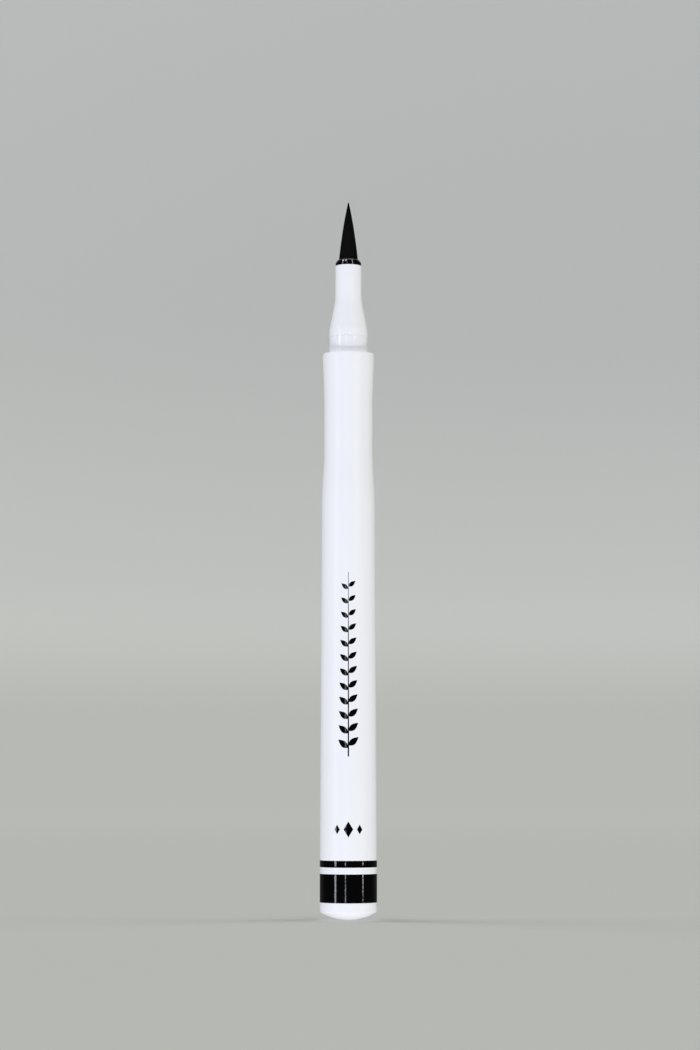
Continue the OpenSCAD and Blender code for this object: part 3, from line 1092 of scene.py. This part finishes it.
def make_world(tint):
    """Even light from all round, with the backdrop's glow in the gloss of the flanks."""
    world = bpy.data.worlds.new("Studio")
    world.use_nodes = True
    tree = world.node_tree
    tree.nodes.clear()
    rays = add_node(tree, "ShaderNodeLightPath")
    place = add_node(tree, "ShaderNodeTexCoord")
    # Matte surfaces get an even light, and the camera sees the backdrop's colour past the sweep
    even_light = 0.456
    seen_share = 0.75
    # Gloss sees a dark room in front of the pen, the lit backdrop behind it and a bright ceiling
    dark_room = 0.03
    gloss = dark_room
    for facing, start, end, peak in (
        ((0, 1, 0), 0.1, 0.9, 0.085),
        ((0, 0.77, 0.64), 0.7, 0.9, 0.6),
        ((0, 0.1, 0.995), 0.85, 0.95, 1.8),
    ):
        toward = add_node(
            tree,
            "ShaderNodeVectorMath",
            settings={"operation": "DOT_PRODUCT"},
            links={0: place.outputs["Generated"], 1: facing},
        )
        lobe = add_node(
            tree,
            "ShaderNodeMapRange",
            links={
                "Value": toward.outputs["Value"],
                "From Min": start,
                "From Max": end,
                "To Max": peak,
            },
        )
        gloss = add_node(
            tree,
            "ShaderNodeMath",
            settings={"operation": "MAXIMUM"},
            links={0: gloss, 1: lobe.outputs["Result"]},
        ).outputs["Value"]
    strength = mixed_value(tree, rays.outputs["Is Diffuse Ray"], gloss, even_light)
    glow = add_node(
        tree,
        "ShaderNodeBackground",
        links={"Color": (1, 1, 1, 1), "Strength": strength},
    )
    seen = add_node(tree, "ShaderNodeBackground", links={"Color": shade(tint, seen_share)})
    light = add_node(
        tree,
        "ShaderNodeMixShader",
        links={
            0: rays.outputs["Is Camera Ray"],
            1: glow.outputs["Background"],
            2: seen.outputs["Background"],
        },
    )
    add_node(tree, "ShaderNodeOutputWorld", links={"Surface": light.outputs["Shader"]})
    bpy.context.scene.world = world


def add_lamp(name, position, target, width, height, radiance, tint):
    """A soft rectangular lamp that the camera doesn't see, aimed at the target."""
    data = bpy.data.lights.new(name, "AREA")
    data.shape = "RECTANGLE"
    data.size = width
    data.size_y = height
    data.energy = radiance * math.pi * width * height
    data.color = tint
    lamp = bpy.data.objects.new(name, data)
    bpy.context.scene.collection.objects.link(lamp)
    lamp.visible_camera = False
    lamp.location = position
    turned = (Vector(target) - Vector(position)).to_track_quat("-Z", "Y")
    lamp.rotation_euler = turned.to_euler()
    return lamp


def around(side, rise, reach, height=0.0):
    """A place at an angle from the camera's direction, an angle above the level, and a distance."""
    turn, climb = math.radians(side), math.radians(rise)
    out = reach * math.cos(climb)
    return (out * math.sin(turn), -out * math.cos(turn), height + reach * math.sin(climb))


def make_lamps(sweep):
    """Broad light from above, a soft glow from below, and small lamps for the gloss.

    Sides, rises and spreads are in degrees, and lengths are in metres.
    """
    for name, side, rise, spread, strength, tint in (
        ("broad_right", 44, 48, 40, 0.13, WARM),
        ("edge_left", -110, 36, 40, 0.74, PALE),
        ("edge_right", 100, 36, 40, 0.66, MILD),
        ("table_glow", 0, -70, 60, 1.36, WARM),
    ):
        data = bpy.data.lights.new(name, "SUN")
        data.energy = strength
        data.angle = math.radians(spread)
        data.color = tint
        lamp = bpy.data.objects.new(name, data)
        bpy.context.scene.collection.objects.link(lamp)
        lamp.rotation_euler = Vector(around(side, rise, 1)).to_track_quat("Z", "Y").to_euler()
        lamp.visible_glossy = False
    # The sweep isn't lit by the small lamps, which would leave spots on it
    unlit = bpy.data.collections.new("Not lit by the small lamps")
    unlit.objects.link(sweep)
    unlit.collection_objects[0].light_linking.link_state = "EXCLUDE"
    # All small lamps are this far from the pen's axis, measured from their own height on it
    reach = 0.62
    for name, side, rise, height, width, tall, radiance, tint in (
        ("low_front", 4, -42, 0.06, 0.12, 0.12, 23.0, COOL),
        ("high_left", -73.9, 55.8, 0.12, 0.11, 0.07, 12.0, COOL),
        ("high_middle", -37, 62.5, 0.12, 0.09, 0.07, 13.0, WARM),
        ("high_right", 54, 60, 0.12, 0.07, 0.07, 7.0, WARM),
        ("strip_far_left", -53.5, 0, 0.11, 0.074, 0.32, 8.2, COLD),
        ("strip_near_left", -11.5, 0, 0.11, 0.026, 0.32, 7.6, COLD),
        ("strip_near_right", 37.5, 0, 0.24, 0.045, 0.24, 12.5, WARM),
        ("strip_far_right", 60.5, 0, 0.002, 0.032, 0.036, 16.0, WARM),
    ):
        place = around(side, rise, reach, height)
        lamp = add_lamp(name, place, (0, 0, height), width, tall, radiance, tint)
        lamp.light_linking.receiver_collection = unlit
    # The low lamp fills the shade under the dome, and isn't seen in its gloss
    bpy.data.objects["low_front"].visible_glossy = False


def make_camera(stage):
    """The camera at the photograph's place, tilted up a little."""
    data = bpy.data.cameras.new("camera")
    data.lens = stage.lens
    data.sensor_width = 36
    data.clip_start = 0.01
    camera = bpy.data.objects.new("camera", data)
    bpy.context.scene.collection.objects.link(camera)
    camera.location = (stage.eye_side, -stage.eye_distance, CAD_BOX[0].z + stage.eye_height)
    camera.rotation_euler = (math.pi / 2 + stage.eye_pitch, 0, 0)
    bpy.context.scene.camera = camera


class PEN_PT_panel(bpy.types.Panel):
    """Lists the pieces of the pen and its stage"""

    bl_idname = "PEN_PT_panel"
    bl_label = "Liquid eyeliner pen"
    bl_space_type = "VIEW_3D"
    bl_region_type = "UI"
    bl_category = "Pen"

    def draw(self, context):
        for operator in OPERATORS:
            self.layout.operator(operator.bl_idname)
        for group in (context.scene.pen_sizes, context.scene.pen_colours, context.scene.pen_stage):
            box = self.layout.box()
            for name in type(group).__annotations__:
                box.prop(group, name)


GROUPS = (PenSizes, PenColours, PenStage)
OPERATORS = (
    PEN_OT_barrel,
    PEN_OT_tail,
    PEN_OT_bands,
    PEN_OT_section,
    PEN_OT_holder,
    PEN_OT_nib,
    PEN_OT_print,
    PEN_OT_inside,
    PEN_OT_stage,
)


def register():
    for item in (*GROUPS, *OPERATORS, PEN_PT_panel):
        bpy.utils.register_class(item)
    bpy.types.Scene.pen_sizes = PointerProperty(type=PenSizes)
    bpy.types.Scene.pen_colours = PointerProperty(type=PenColours)
    bpy.types.Scene.pen_stage = PointerProperty(type=PenStage)


def unregister():
    del bpy.types.Scene.pen_stage
    del bpy.types.Scene.pen_colours
    del bpy.types.Scene.pen_sizes
    for item in reversed((*GROUPS, *OPERATORS, PEN_PT_panel)):
        bpy.utils.unregister_class(item)


def main():
    register()
    for operator in OPERATORS:
        group, name = operator.bl_idname.split(".")
        getattr(getattr(bpy.ops, group), name)()


if __name__ == "__main__":
    main()
